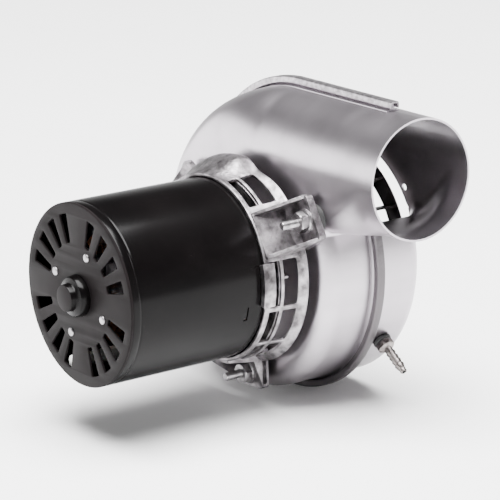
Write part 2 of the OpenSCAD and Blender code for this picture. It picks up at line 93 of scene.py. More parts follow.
# Holes, as circles about the shaft
STUD_ANGLES = (31, 151, 271)
STUD_R = 54.0
STUD_HOLE_R = 2.2
SHAFT_HOLE_R = 7.0
MOUNT_CIRCLE_R = 52.4
MOUNT_ANGLES = (38.4, 158.4, 278.4)
MOUNT_HOLE_R = 1.6
STRIP_END_X = 68.0
HEM_END_X = 66.2

# Places along the shaft, from the end plate's face to the scroll
FACE_Y = -154.0
SHELL_END_Y = high("motor_shell", Y)
COLLAR_FRONT = -82.5
FLANGE_FRONT = -65.8
FLANGE_BACK = -61.8
LUG_FRONT = -62.2
LUG_BACK = -58.6

MOTOR_R = 42.0
WHEEL_R = 48.5


# ---------- Mesh helpers ----------

def polar(r, angle, y):
    """A point at a radius and an angle about the shaft, from +X towards +Z."""
    a = math.radians(angle)
    return Vector((r * math.cos(a), y, r * math.sin(a)))


def smooth_step(t):
    t = min(max(t, 0.0), 1.0)
    return t * t * (3 - 2 * t)


def centres(r, angles):
    """Points on a circle about the shaft, as (x, z)."""
    return [(p.x, p.z) for p in (polar(r, a, 0) for a in angles)]


def spread(a, b, count):
    """Evenly spaced values from a to b, with both ends."""
    return [a + (b - a) * i / (count - 1) for i in range(count)]


def add_object(name, mesh, body, material, replaces):
    """Adds a visible piece to a body with its material, and hides the CAD nodes it stands for."""
    obj = bpy.data.objects.new(name, mesh)
    bpy.context.scene.collection.objects.link(obj)
    mesh.materials.clear()
    mesh.materials.append(material)
    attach(obj, body)
    if replaces:
        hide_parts(*replaces)
    return obj


def finish_mesh(bm, name, sharp=35.0):
    """Welds, orients and shades a mesh drawn in millimetres, and returns it in metres.
    Edges that turn by more than `sharp` degrees stay crisp."""
    bmesh.ops.remove_doubles(bm, verts=bm.verts, dist=WELD)
    loose = [v for v in bm.verts if not v.link_faces]
    bmesh.ops.delete(bm, geom=loose, context="VERTS")
    bmesh.ops.recalc_face_normals(bm, faces=bm.faces)
    limit = math.radians(sharp)
    for f in bm.faces:
        f.smooth = True
    for e in bm.edges:
        e.smooth = not (len(e.link_faces) == 2 and e.calc_face_angle(0) > limit)
    bmesh.ops.scale(bm, vec=(MM, MM, MM), verts=bm.verts)
    mesh = bpy.data.meshes.new(name)
    bm.to_mesh(mesh)
    bm.free()
    return mesh


def grid_faces(bm, rows, closed_rows=False, closed_columns=False):
    """Joins rows of points into quads and returns their vertices. Each row is a list of Vectors."""
    verts = [[bm.verts.new(p) for p in row] for row in rows]
    count = len(verts)
    for i in range(count if closed_rows else count - 1):
        a, b = verts[i], verts[(i + 1) % count]
        for j in range(len(a) if closed_columns else len(a) - 1):
            k = (j + 1) % len(a)
            bm.faces.new((a[j], a[k], b[k], b[j]))
    return verts


def lathe(bm, profile, centre=(0, 0), steps=96, place=None):
    """Turns a closed profile of (radius, y) points about a line along Y, or about place's Z axis.
    Returns the vertices, indexed [step][profile point]."""
    rows = []
    for i in range(steps):
        a = 2 * math.pi * i / steps
        row = []
        for r, y in profile:
            if place is None:
                row.append(Vector((centre[0] + r * math.cos(a), y, centre[1] + r * math.sin(a))))
            else:
                row.append(place @ Vector((r * math.cos(a), r * math.sin(a), y)))
        rows.append(row)
    return grid_faces(bm, rows, closed_rows=True, closed_columns=True)


def rounded(points, radius, steps=3):
    """Rounds the corners of a closed outline. radius is one number, or a function of the corner's index."""
    out = []
    for i in range(len(points)):
        p = Vector(points[i])
        before = Vector(points[i - 1]) - p
        after = Vector(points[(i + 1) % len(points)]) - p
        r = radius(i) if callable(radius) else radius
        reach = min(r, before.length * 0.49, after.length * 0.49)
        if reach < 1e-4:
            out.append(tuple(p))
            continue
        a = p + before.normalized() * reach
        b = p + after.normalized() * reach
        for k in range(steps + 1):
            t = k / steps
            out.append(tuple(a * (1 - t) ** 2 + p * 2 * t * (1 - t) + b * t * t))
    return out


def flat_plate(name, outlines, y0, y1, bevel):
    """A flat plate across the shaft, with bevelled edges. outlines are (x, z) loops: the rim, then holes."""
    curve = bpy.data.curves.new(name, "CURVE")
    curve.dimensions = "2D"
    curve.fill_mode = "BOTH"
    curve.extrude = (y1 - y0) / 2 - bevel
    curve.bevel_depth = bevel
    curve.offset = -bevel
    curve.bevel_resolution = 2
    for outline in outlines:
        spline = curve.splines.new("POLY")
        spline.points.add(len(outline) - 1)
        for point, (x, z) in zip(spline.points, outline):
            point.co = (x, z, 0, 1)
        spline.use_cyclic_u = True
    obj = bpy.data.objects.new(name, curve)
    bpy.context.scene.collection.objects.link(obj)
    mesh = bpy.data.meshes.new_from_object(obj)
    bpy.data.objects.remove(obj)
    bm = bmesh.new()
    bm.from_mesh(mesh)
    place = Matrix.Translation((0, (y0 + y1) / 2, 0)) @ Matrix.Rotation(math.radians(90), 4, "X")
    bm.transform(place)
    return bm


def axes_matrix(x, y, z, origin=(0, 0, 0)):
    """A matrix that maps the three axes onto three directions, from an origin."""
    m = Matrix((x, y, z)).transposed().to_4x4()
    m.translation = origin
    return m


def circle_points(r, steps, centre=(0, 0)):
    turns = [2 * math.pi * i / steps for i in range(steps)]
    return [(centre[0] + r * math.cos(a), centre[1] + r * math.sin(a)) for a in turns]


# ---------- Materials ----------

COAT_ROUGHNESS = 0.1
# A noise's values cluster round a half, so the colours are reached well inside 0 and 1
DARK_AT, LIGHT_AT = 0.32, 0.68


def surface(name, dark, light, metallic, rough, stretch=(1, 1, 1), scale=60.0, detail=6.0,
            grain=900.0, grain_stretch=(1, 1, 1), bump=0.02, bump_height=0.0001, coat=0.0,
            specular=0.5, patches=None, painted_shade_by_height=None):
    """A surface whose colour, roughness and fine relief vary over it, in the object's own space.
    dark and light are colours, and rough is a range. patches is a noise's scale, a colour, and the values
    between which the noise brings it in. The last argument is painted shade: a colour, and the heights where
    it starts and is full."""
    mat = bpy.data.materials.new(name)
    mat.use_nodes = True
    nodes, links = mat.node_tree.nodes, mat.node_tree.links
    shader = nodes["Principled BSDF"]
    shader.inputs["Metallic"].default_value = metallic
    shader.inputs["Coat Weight"].default_value = coat
    shader.inputs["Coat Roughness"].default_value = COAT_ROUGHNESS
    shader.inputs["Specular IOR Level"].default_value = specular
    place = nodes.new("ShaderNodeTexCoord")

    def noise(size, squeeze, octaves, octave_weight=0.55):
        mapping = nodes.new("ShaderNodeMapping")
        mapping.inputs["Scale"].default_value = squeeze
        links.new(place.outputs["Object"], mapping.inputs["Vector"])
        tex = nodes.new("ShaderNodeTexNoise")
        tex.inputs["Scale"].default_value = size
        tex.inputs["Detail"].default_value = octaves
        tex.inputs["Roughness"].default_value = octave_weight
        links.new(mapping.outputs["Vector"], tex.inputs["Vector"])
        return tex.outputs["Fac"]

    cloud = noise(scale, stretch, detail)
    fine = noise(grain, grain_stretch, 3.0, 0.7)
    ramp = nodes.new("ShaderNodeValToRGB")
    ramp.color_ramp.elements[0].position = DARK_AT
    ramp.color_ramp.elements[0].color = (*dark, 1)
    ramp.color_ramp.elements[1].position = LIGHT_AT
    ramp.color_ramp.elements[1].color = (*light, 1)
    links.new(cloud, ramp.inputs["Fac"])
    colour = ramp.outputs["Color"]

    def blend(base, tone, value, start, end):
        """Moves a colour towards a tone as a value goes from start to end."""
        share = nodes.new("ShaderNodeMapRange")
        share.inputs["From Min"].default_value = start
        share.inputs["From Max"].default_value = end
        links.new(value, share.inputs["Value"])
        mix = nodes.new("ShaderNodeMix")
        mix.data_type = "RGBA"
        links.new(share.outputs["Result"], mix.inputs["Factor"])
        links.new(base, mix.inputs["A"])
        mix.inputs["B"].default_value = (*tone, 1)
        return mix.outputs["Result"]

    if patches:
        # Broad stains or scuffs over the base colour
        size, tone, start, end = patches
        colour = blend(colour, tone, noise(size, (1, 1, 1), 4.0), start, end)
    if painted_shade_by_height:
        # Painted shade: darker towards the underside
        tone, start, end = painted_shade_by_height
        split = nodes.new("ShaderNodeSeparateXYZ")
        links.new(place.outputs["Object"], split.inputs["Vector"])
        colour = blend(colour, tone, split.outputs["Z"], start, end)
    links.new(colour, shader.inputs["Base Color"])
    gloss = nodes.new("ShaderNodeMapRange")
    gloss.inputs["To Min"].default_value = rough[0]
    gloss.inputs["To Max"].default_value = rough[1]
    links.new(noise(scale * 1.7, stretch, 1.0), gloss.inputs["Value"])
    links.new(gloss.outputs["Result"], shader.inputs["Roughness"])
    relief = nodes.new("ShaderNodeBump")
    relief.inputs["Strength"].default_value = bump
    relief.inputs["Distance"].default_value = bump_height
    links.new(fine, relief.inputs["Height"])
    links.new(relief.outputs["Normal"], shader.inputs["Normal"])
    return mat


ALONG_Y = (1.0, 0.06, 1.0)
# The drawn steel darkens from 28 mm below the shaft to 64 mm below it: painted shade on the scroll's lower
# part.
DRAWN_STEEL = surface(
    "Drawn steel", (0.42, 0.388, 0.418), (0.52, 0.485, 0.52), 1.0, (0.29, 0.36), stretch=ALONG_Y, scale=45,
    grain=1100, grain_stretch=ALONG_Y, bump=0.10, bump_height=0.00003,
    patches=(22, (0.36, 0.333, 0.356), 0.55, 0.95), painted_shade_by_height=((0.24, 0.221, 0.235), -0.028, -0.064))
# The inside skin of the same drawn steel, made much darker: painted shade inside the scroll.
SHADED_INNER_STEEL = surface(
    "Drawn steel, inside, painted shade", (0.028, 0.025, 0.026), (0.065, 0.058, 0.061), 1.0, (0.36, 0.46),
    stretch=ALONG_Y, scale=45, grain=1100, grain_stretch=ALONG_Y, bump=0.10, bump_height=0.00003,
    patches=(22, (0.03, 0.027, 0.028), 0.5, 0.9))
# The hem is the shell's own sheet; this darker copy of the steel is painted shade on the flange and its
# fillet.
SHADED_FLANGE_STEEL = surface(
    "Flange steel, painted shade", (0.045, 0.040, 0.043), (0.13, 0.12, 0.127), 1.0, (0.30, 0.42), scale=260,
    grain=1400, bump=0.15, bump_height=0.00004)
WHEEL_STEEL = surface(
    "Wheel steel", (0.05, 0.045, 0.046), (0.12, 0.11, 0.112), 0.9, (0.35, 0.5), scale=120,
    bump=0.1, bump_height=0.00004)
# The strip steel darkens from 70 mm above the shaft down to the shaft's height: painted shade on its lower
# part.
STRIP_STEEL = surface(
    "Strip steel", (0.20, 0.186, 0.197), (0.48, 0.45, 0.475), 1.0, (0.30, 0.42), scale=420,
    grain=1600, bump=0.2, bump_height=0.00004, painted_shade_by_height=((0.10, 0.092, 0.097), 0.07, 0.0))
ZINC = surface(
    "Zinc plate", (0.20, 0.19, 0.195), (0.46, 0.445, 0.455), 1.0, (0.29, 0.34), scale=300,
    grain=2500, bump=0.15, bump_height=0.00003)
DULL_BRASS = surface(
    "Dull plated brass", (0.12, 0.105, 0.10), (0.36, 0.325, 0.315), 1.0, (0.30, 0.42), scale=420,
    grain=2500, bump=0.2, bump_height=0.00004)
GROUND_STEEL = surface(
    "Ground steel", (0.50, 0.50, 0.51), (0.66, 0.66, 0.67), 1.0, (0.16, 0.26), stretch=(1, 14, 1),
    scale=90, grain=1800, grain_stretch=(1, 8, 1), bump=0.15, bump_height=0.00002)
CAST = surface(
    "Cast aluminium", (0.085, 0.078, 0.082), (0.50, 0.47, 0.49), 1.0, (0.32, 0.46), scale=190, detail=9,
    grain=700, bump=0.8, bump_height=0.0003, patches=(75, (0.05, 0.046, 0.048), 0.42, 0.72))
BLACK_ENAMEL = surface(
    "Black enamel", (0.0012, 0.0010, 0.0011), (0.003, 0.0025, 0.0026), 0.0, (0.16, 0.24), scale=30,
    grain=260, bump=0.012, specular=0.085)
GREY_ENAMEL = surface(
    "Grey enamel", (0.0045, 0.0036, 0.0038), (0.0085, 0.0068, 0.0072), 0.0, (0.44, 0.52), grain=700,
    bump=0.12, specular=0.05)
RUBBER = surface(
    "Rubber", (0.012, 0.012, 0.012), (0.03, 0.03, 0.03), 0.0, (0.5, 0.7), scale=90,
    bump=0.2, specular=0.35)
FIBRE = surface(
    "Seal fibre", (0.14, 0.10, 0.07), (0.26, 0.21, 0.16), 0.0, (0.75, 0.9), scale=240, grain=1200,
    bump=0.5, bump_height=0.0003, specular=0.2)
BRONZE = surface(
    "Sintered bronze", (0.42, 0.27, 0.14), (0.62, 0.42, 0.22), 1.0, (0.3, 0.5), scale=400, grain=2200,
    bump=0.3)
FELT = surface(
    "Oiled felt", (0.30, 0.24, 0.15), (0.50, 0.43, 0.31), 0.0, (0.8, 0.95), scale=300, grain=1500,
    bump=0.7, bump_height=0.0004, specular=0.2)
LAMINATION = surface(
    "Laminations", (0.10, 0.10, 0.11), (0.24, 0.24, 0.26), 0.9, (0.35, 0.55), stretch=(0.02, 1, 0.02),
    scale=1800, detail=2, grain=1500, grain_stretch=(0.02, 1, 0.02), bump=0.5, bump_height=0.0002)
COPPER_WIRE = surface(
    "Enamelled wire", (0.13, 0.042, 0.016), (0.28, 0.11, 0.047), 0.55, (0.22, 0.36), scale=160, grain=800,
    bump=0.2, bump_height=0.0002, coat=0.5)
WHITE_PLASTIC = surface(
    "White plastic", (0.72, 0.72, 0.69), (0.86, 0.86, 0.83), 0.0, (0.38, 0.5), scale=90,
    bump=0.08)
BLACK_PLASTIC = surface(
    "Black plastic", (0.015, 0.015, 0.016), (0.035, 0.035, 0.036), 0.0, (0.35, 0.5), scale=120,
    bump=0.1)
BLACK_OXIDE = surface(
    "Black oxide", (0.02, 0.02, 0.022), (0.05, 0.05, 0.052), 0.7, (0.3, 0.45), scale=300, grain=1800,
    bump=0.2)


# ---------- Scroll ----------

# Corner radii, where the scroll's wall turns into its front and rear faces
FRONT_Q = 9.3
REAR_Q = 7.5
# At the top the rear corner is as large as the inlet opening leaves room for
REAR_CROWN_Q = TOP_Z - INLET_R - 2.5
# Radius of the tongue's bend, under the outlet
BEND = 1.2
NECK_START_X = 40.0
# Both corners grow round the left arc, slowly at first, and the rear one is round by this X
GROWTH = 1.9
REAR_ROUND_X = 25.0


def wall_stations():
    """The scroll's wall, from the outlet's lower rim round to its upper rim.
    Each station is a point, its outward normal, and the corner radii at front and rear."""
    stations = []
    rise = FLOOR_Z - BEND - ARC_RIGHT[1]
    reach = ARC_RIGHT[2] + BEND
    bend = (ARC_RIGHT[0] + math.sqrt(reach ** 2 - rise ** 2), FLOOR_Z - BEND)
    tongue = math.degrees(math.asin(rise / reach))

    def neck_q(x, base, start):
        """A corner radius on the neck's floor, which grows to the outlet's."""
        return base + (OUTLET_R - base) * smooth_step((x - start) / (SPIGOT_X - start))

    def add(x, z, angle, q_front, q_rear):
        a = math.radians(angle)
        stations.append((Vector((x, 0, z)), Vector((math.cos(a), 0, math.sin(a))), q_front, q_rear))

    for x in spread(OUTLET_X, bend[0], 30):
        add(x, FLOOR_Z, 270, neck_q(x, FRONT_Q, bend[0]), neck_q(x, REAR_Q, bend[0]))
    for angle in spread(270, 360 + tongue, 20)[1:]:
        a = math.radians(angle)
        add(bend[0] - BEND * math.cos(a), bend[1] - BEND * math.sin(a), angle, FRONT_Q, REAR_Q)
    for angle in spread(tongue, -90, 60)[1:]:
        p = polar(ARC_RIGHT[2], angle, 0)
        add(ARC_RIGHT[0] + p.x, ARC_RIGHT[1] + p.z, angle, FRONT_Q, REAR_Q)
    for angle in spread(270, 180, 46)[1:]:
        p = polar(ARC_BOTTOM[2], angle, 0)
        add(ARC_BOTTOM[0] + p.x, ARC_BOTTOM[1] + p.z, angle, FRONT_Q, REAR_Q)
    for angle in spread(180, 90, 54)[1:]:
        p = polar(ARC_LEFT[2], angle, 0)
        share = ((180 - angle) / 90) ** GROWTH
        q_front = FRONT_Q + (OUTLET_R - FRONT_Q) * share
        q_rear = REAR_Q + (REAR_CROWN_Q - REAR_Q) * share
        add(ARC_LEFT[0] + p.x, ARC_LEFT[1] + p.z, angle, q_front, q_rear)
    for x in spread(0, bend[0], 26)[1:] + spread(bend[0], OUTLET_X, 30)[1:]:
        q_rear = REAR_CROWN_Q + (OUTLET_R - REAR_CROWN_Q) * smooth_step(x / REAR_ROUND_X)
        add(x, TOP_Z, 90, OUTLET_R, q_rear)
    return stations


STATIONS = wall_stations()
CORNER_STEPS = 14
# What a face of a shell is, kept in the "kind" layer: outer skin, inner skin, the sheet's edge, or the hem
OUTER, INNER, EDGE, HEM = range(4)
# The place of each kind's material on the mesh. The inner skin and the hem get darker copies of the steel, as
# painted shade.
KIND_MATERIAL = (0, 1, 0, 2)


def corner_point(station, side, inset, share):
    """A point on the rounded corner, at a share of the way from the wall to the flat face."""
    point, normal, q_front, q_rear = station
    q = q_front if side < 0 else q_rear
    face = Y_FRONT if side < 0 else 0.0
    phi = math.pi / 2 * share
    y = face - side * (q - (q - inset) * math.sin(phi))
    return point - normal * (q - (q - inset) * math.cos(phi)) + Vector((0, y, 0))


def from_shaft(p):
    return math.hypot(p.x, p.z)


def meets_inlet(station):
    """Whether the inlet opening cuts into the rear corner here."""
    return from_shaft(corner_point(station, 1, 0.0, 1.0)) < INLET_R


def corner_share(station, side, inset):
    """How far round its corner the sheet runs: to the flat face, or to the inlet's edge."""
    if side < 0 or not meets_inlet(station):
        return 1.0
    near, far = 0.0, 1.0
    for _ in range(24):
        middle = (near + far) / 2
        if from_shaft(corner_point(station, side, inset, middle)) > INLET_R:
            near = middle
        else:
            far = middle
    return near


def shell_section(station, side, inset):
    """Points across half of the scroll, from the seam over the corner to the flat face.
    side is -1 at the front."""
    point, normal, *_ = station
    start = corner_point(station, side, inset, 0.0)
    section = [point - normal * inset + Vector((0, y, 0)) for y in spread(Y_SEAM, start.y, 4)]
    end = corner_share(station, side, inset)
    for i in range(1, CORNER_STEPS + 1):
        section.append(corner_point(station, side, inset, end * i / CORNER_STEPS))
    return section


def skin_grid(bm, rows, side, flat_y):
    """One skin of a shell. Each point keeps the smooth surface's true normal in the "want" layer."""
    verts = grid_faces(bm, rows)
    want = bm.verts.layers.float_vector["want"]
    last_row, last = len(rows) - 1, len(rows[0]) - 1
    for i, row in enumerate(verts):
        for j, v in enumerate(row):
            along = rows[min(i + 1, last_row)][j] - rows[max(i - 1, 0)][j]
            across = rows[i][min(j + 1, last)] - rows[i][max(j - 1, 0)]
            normal = along.cross(across)
            if abs(rows[i][j].y - flat_y) < 1e-4 or normal.length < 1e-9:
                normal = Vector((0, side, 0))
            v[want] = normal.normalized()


def flat_face(bm, rim, holes, y, side):
    """Fills the flat face inside its rim, leaving round holes. A hole is (x, z, radius, steps)."""
    want = bm.verts.layers.float_vector["want"]
    loops = [[Vector((p.x, p.z, 0)) for p in rim]]
    for x, z, r, steps in holes:
        loops.append([Vector((a, b, 0)) for a, b in circle_points(r, steps, (x, z))])
    corners = [p for loop in loops for p in loop]
    verts = [bm.verts.new((p.x, y, p.y)) for p in corners]
    for v in verts:
        v[want] = Vector((0, side, 0))
    for tri in tessellate_polygon(loops):
        if len(set(tri)) == 3:
            bm.faces.new([verts[i] for i in tri])


def ring_wall(bm, x, z, r, steps, y0, y1):
    """The wall of a round hole."""
    rows = [[Vector((a, y, b)) for a, b in circle_points(r, steps, (x, z))] for y in (y0, y1)]
    grid_faces(bm, rows, closed_columns=True)


def inlet_edge(rim, first, last):
    """The inlet's edge where it lies in the flat face.
    It runs round from the rim point before the cut corner to the one after."""
    start = math.degrees(math.atan2(rim[first - 1].z, rim[first - 1].x))
    end = math.degrees(math.atan2(rim[last + 1].z, rim[last + 1].x))
    arc = [polar(INLET_R, a, 0) for a in spread(start, end + 360, 110)[1:-1]]
    return [rim[first - 1]] + arc + [rim[last + 1]]


def mark_new_faces(bm, before, kind):
    """Gives a kind to every face made after the first `before` ones."""
    layer = bm.faces.layers.int["kind"]
    bm.faces.ensure_lookup_table()
    for f in bm.faces[before:]:
        f[layer] = kind


def scroll_shell(side, holes):
    """One drawn half of the scroll, as a sheet with two skins. side is -1 for the front half."""
    bm = bmesh.new()
    bm.verts.layers.float_vector.new("want")
    bm.faces.layers.int.new("kind")
    face = Y_FRONT if side < 0 else 0.0
    cut = [i for i, s in enumerate(STATIONS) if side > 0 and meets_inlet(s)]
    skins = []
    for kind, inset in ((OUTER, 0.0), (INNER, SHEET)):
        before = len(bm.faces)
        rows = [shell_section(s, side, inset) for s in STATIONS]
        skin_grid(bm, rows, side, face - side * inset)
        rim = [row[-1] for row in rows]
        flat = []
        for i, (p, s) in enumerate(zip(rim, STATIONS)):
            if cut and i == cut[0]:
                flat += inlet_edge(rim, cut[0], cut[-1])[1:-1]
            # The flat face narrows to nothing where the outlet turns round
            if i not in cut and (s[0].x < SPIGOT_X - 0.05 or not is_neck(s)):
                flat.append(p)
        flat_face(bm, flat, holes, face - side * inset, side)
        skins.append(rows)
        mark_new_faces(bm, before, kind)
    before = len(bm.faces)
    outer, inner = skins
    for k in (0, -1):
        grid_faces(bm, [outer[k], inner[k]])
    grid_faces(bm, [[row[0] for row in outer], [row[0] for row in inner]])
    for x, z, r, steps in holes:
        ring_wall(bm, x, z, r, steps, face, face - side * SHEET)
    if cut:
        ends = range(cut[0] - 1, cut[-1] + 2)
        grid_faces(bm, [[rows[i][-1] for i in ends] for rows in skins])
        edge = inlet_edge([row[-1] for row in outer], cut[0], cut[-1])
        grid_faces(bm, [[Vector((p.x, y, p.z)) for p in edge] for y in (face, face - side * SHEET)])
    mark_new_faces(bm, before, EDGE)
    return bm


def finish_shell(bm, name):
    """A shell's mesh, with the skins' own normals and each kind of face in its own material."""
    layer = bm.faces.layers.int["kind"]
    for f in bm.faces:
        f.material_index = KIND_MATERIAL[f[layer]]
    mesh = finish_mesh(bm, name, 40)
    want = mesh.attributes["want"].data
    kind = mesh.attributes["kind"].data
    # A zero normal leaves Blender's own
    own = Vector((0, 0, 0))
    normals = [own] * len(mesh.loops)
    for poly in mesh.polygons:
        if kind[poly.index].value not in (OUTER, INNER):
            continue
        for loop in poly.loop_indices:
            normal = Vector(want[mesh.loops[loop].vertex_index].vector)
            if normal.dot(poly.normal) < 0:
                normal.negate()
            normals[loop] = normal if normal.dot(poly.normal) > 0.5 else own
    mesh.normals_split_custom_set(normals)
    return mesh


def is_neck(station):
    """Whether a station is on the outlet's neck, above or below."""
    p = station[0]
    on_top = abs(p.z - TOP_Z) < 0.01 and p.x > NECK_START_X
    return on_top or abs(p.z - FLOOR_Z) < 0.01


def hole_circle(radius, angles, r, steps=24):
    """Equal holes on a circle about the shaft, as flat_face takes them."""
    return [(x, z, r, steps) for x, z in centres(radius, angles)]


def seam_stations(end_x):
    """The stations that the seam follows, from the tongue round to the end of the straight top."""
    start = next(i for i, s in enumerate(STATIONS) if s[0].z < FLOOR_Z - BEND * 1.2)
    run = [s for s in STATIONS[start:] if s[0].x < end_x - 0.3 or s[0].z < TOP_Z - 0.01]
    run.append((Vector((end_x, 0, TOP_Z)), *run[-1][1:]))
    return run


def sweep_on_wall(bm, outline, end_x):
    """Sweeps a closed outline along the scroll's wall.
    Its points are (height above the wall, distance from the seam)."""
    rows = []
    for point, normal, *_ in seam_stations(end_x):
        rows.append([point + normal * h + Vector((0, Y_SEAM + y, 0)) for h, y in outline])
    verts = grid_faces(bm, rows, closed_columns=True)
    for row in (verts[0], verts[-1]):
        bm.faces.new(row)


HEM_FOOT = -0.5
HEM_HEIGHT = 3.3
HEM_T = 1.0
FILLET_HEIGHT = 1.7
FILLET_FOOT = 0.08
FILLET_DEPTH = 2.2


def hem(bm, side):
    """The flange on one shell's edge, which turns up from the wall and is gripped by the strip."""
    before = len(bm.faces)
    top = HEM_T + 0.05
    outline = [(HEM_FOOT, 0.02), (HEM_HEIGHT, 0.02), (HEM_HEIGHT, HEM_T), (FILLET_HEIGHT, top)]
    for t in spread(0.3, math.pi / 2, 6):
        drop = (FILLET_HEIGHT - FILLET_FOOT) * math.sin(t)
        outline.append((FILLET_HEIGHT - drop, top + FILLET_DEPTH * (1 - math.cos(t))))
    outline.append((HEM_FOOT, top + FILLET_DEPTH + 0.15))
    sweep_on_wall(bm, [(h, side * y) for h, y in outline], HEM_END_X)
    mark_new_faces(bm, before, HEM)


def build_shell(side, name, node, holes):
    """One half of the scroll with its hem. side is -1 at the front."""
    bm = scroll_shell(side, holes)
    hem(bm, side)
    mesh = finish_shell(bm, name)
    add_object(name, mesh, "root", DRAWN_STEEL, [node])
    # The inner skin and the hem take darker copies of the steel: painted shade
    mesh.materials.append(SHADED_INNER_STEEL)
    mesh.materials.append(SHADED_FLANGE_STEEL)


def build_seam_strip():
    """The channel that grips both hems, with lips that flare a little."""
    gauge = 0.8
    flare = 0.12
    lip = 1.35
    half = (high("seam_clamp_strip", Y) - low("seam_clamp_strip", Y)) / 2
    top = high("seam_clamp_strip", Z) - TOP_Z
    outer = [(lip, -half - flare), (top, -half), (top, half), (lip, half + flare)]
    inner_half = half - gauge
    inner = [(lip, inner_half + flare), (top - gauge, inner_half),
             (top - gauge, -inner_half), (lip, -inner_half - flare)]
    corner_radii = (0.2, 0.9, 0.9, 0.2, 0.2, 0.3, 0.3, 0.2)
    bm = bmesh.new()
    sweep_on_wall(bm, rounded(outer + inner, lambda i: corner_radii[i]), STRIP_END_X)
    add_object("seam_strip_skin", finish_mesh(bm, "seam_strip_skin", 50), "root", STRIP_STEEL,
               ["seam_clamp_strip"])


# ---------- Collar ----------

# Each window's two edges, as angles about the shaft
WINDOWS = ((50, 75), (-13.5, 14.5), (-41.5, -16.5), (-75, -44.5), (-134, -106), (-164, -136), (-194, -166))
# Front rim, front row of windows, hoop, rear row of windows, foot
CAGE_LEVELS = (COLLAR_FRONT, COLLAR_FRONT + 2.6, COLLAR_FRONT + 7.9, COLLAR_FRONT + 9.6,
               FLANGE_FRONT, FLANGE_BACK)
CAGE_R = MOTOR_R + 1.9
CAGE_T = 1.8
CAGE_CONE = 1.3
FOOT_FLARE = 2.7
SWELL = 5.2
SWELL_START, SWELL_END = 75.5, 138
SWELL_EASE = 12


def cage_radius(angle, y):
    """The collar's outside radius: a gentle cone, a flared foot, and a bulged wall on the upper left."""
    t = (y - COLLAR_FRONT) / (FLANGE_FRONT - COLLAR_FRONT)
    r = CAGE_R + CAGE_CONE * min(max(t, 0), 1)
    foot = smooth_step((y - FLANGE_FRONT) / (FLANGE_BACK - FLANGE_FRONT))
    a = (angle + 360) % 360
    # The foot flares less on the upper left
    r += FOOT_FLARE * foot * (1 - 0.6 * smooth_step((a - 55) / 20) * smooth_step((150 - a) / 20))
    swell = smooth_step((a - SWELL_START) / SWELL_EASE) * smooth_step((SWELL_END - a) / SWELL_EASE)
    return r + swell * (SWELL * smooth_step(t * 1.05) - 2.0 * foot)


def in_window(angle, y):
    _, front_a, front_b, rear_a, rear_b, _ = CAGE_LEVELS
    if front_a < y < front_b or rear_a < y < rear_b:
        return any(a + 0.01 < angle < b - 0.01 for a, b in WINDOWS)
    return False


def cage_grid():
    """The angles and levels of the cage's cells. Every window's edge is one of them."""
    edges = sorted({e for w in WINDOWS for e in w})
    edges.append(edges[0] + 360)
    angles = []
    for a, b in zip(edges, edges[1:]):
        angles += spread(a, b, max(2, round((b - a) / 2.2) + 1))[:-1]
    levels = []
    for a, b in zip(CAGE_LEVELS, CAGE_LEVELS[1:]):
        levels += spread(a, b, 4)[:-1]
    levels.append(CAGE_LEVELS[-1])
    return angles, levels


def cast_edges(obj, width):
    """Softens a casting's edges."""
    edge = obj.modifiers.new("Cast edges", "BEVEL")
    edge.width = width * MM
    edge.segments = 2
    edge.limit_method = "ANGLE"
    edge.angle_limit = math.radians(40)


def build_cage():
    """The collar's wall, as a skin of cells with the windows left out, thickened inwards."""
    bm = bmesh.new()
    angles, levels = cage_grid()
    verts = [[bm.verts.new(polar(cage_radius(a, y), a, y)) for y in levels] for a in angles]
    count = len(angles)
    for i in range(count):
        k = (i + 1) % count
        step = (angles[k] - angles[i]) % 360
        for j in range(len(levels) - 1):
            if in_window(angles[i] + step / 2, (levels[j] + levels[j + 1]) / 2):
                continue
            bm.faces.new((verts[i][j], verts[i][j + 1], verts[k][j + 1], verts[k][j]))
    mesh = finish_mesh(bm, "collar_cage", 60)
    obj = add_object("collar_cage", mesh, "root", CAST, ["motor_mount_collar"])
    wall = obj.modifiers.new("Wall", "SOLIDIFY")
    wall.thickness = CAGE_T * MM
    wall.offset = -1
    wall.use_even_offset = True
    cast_edges(obj, 0.4)


def slab_outline(bm, points, thickness, place):
    """Extrudes a flat outline of (u, v) points both ways from its plane, and places it in the frame."""
    half = thickness / 2
    faces = []
    for w in (-half, half):
        faces.append([bm.verts.new(place @ Vector((u, v, w))) for u, v in points])
    count = len(points)
    for i in range(count):
        k = (i + 1) % count
        bm.faces.new((faces[0][i], faces[0][k], faces[1][k], faces[1][i]))
    bm.faces.new(faces[0])
    bm.faces.new(list(reversed(faces[1])))


def radial_frame(angle):
    """Maps (radius, y, sideways) into the frame, at an angle about the shaft."""
    a = math.radians(angle)
    out = Vector((math.cos(a), 0, math.sin(a)))
    along = Vector((0, 1, 0))
    side = Vector((-math.sin(a), 0, math.cos(a)))
    return axes_matrix(out, along, side)


GUSSET_T = 1.5
LUG_HALF_WIDTH = 11
LUG_END_R = 60.5
LUG_ROOT_R = MOTOR_R + 0.6
GUSSET_END_R = MOTOR_R + 17.0
BOSS_R = 5.9
NUT_SEAT_Y = LUG_FRONT - 0.45
PAD_START, PAD_END = -12, 14


def gusset_outline(angle, side):
    """One gusset as (radius, y) points, from its foot on the cage to the lug's end."""
    # The lowest lug's gusset on the outlet side is cut back, to reach its nut
    cut_back = angle == STUD_ANGLES[2] and side == 1
    waist_r, waist_y = (3.9, 15.8) if cut_back else (8.5, 9.2)
    foot_y = COLLAR_FRONT + 1.4
    return [(LUG_ROOT_R, foot_y), (CAGE_R, foot_y), (MOTOR_R + waist_r, COLLAR_FRONT + waist_y),
            (GUSSET_END_R, LUG_FRONT + 0.2), (GUSSET_END_R, LUG_BACK - 1.0), (LUG_ROOT_R, LUG_BACK - 1.0)]


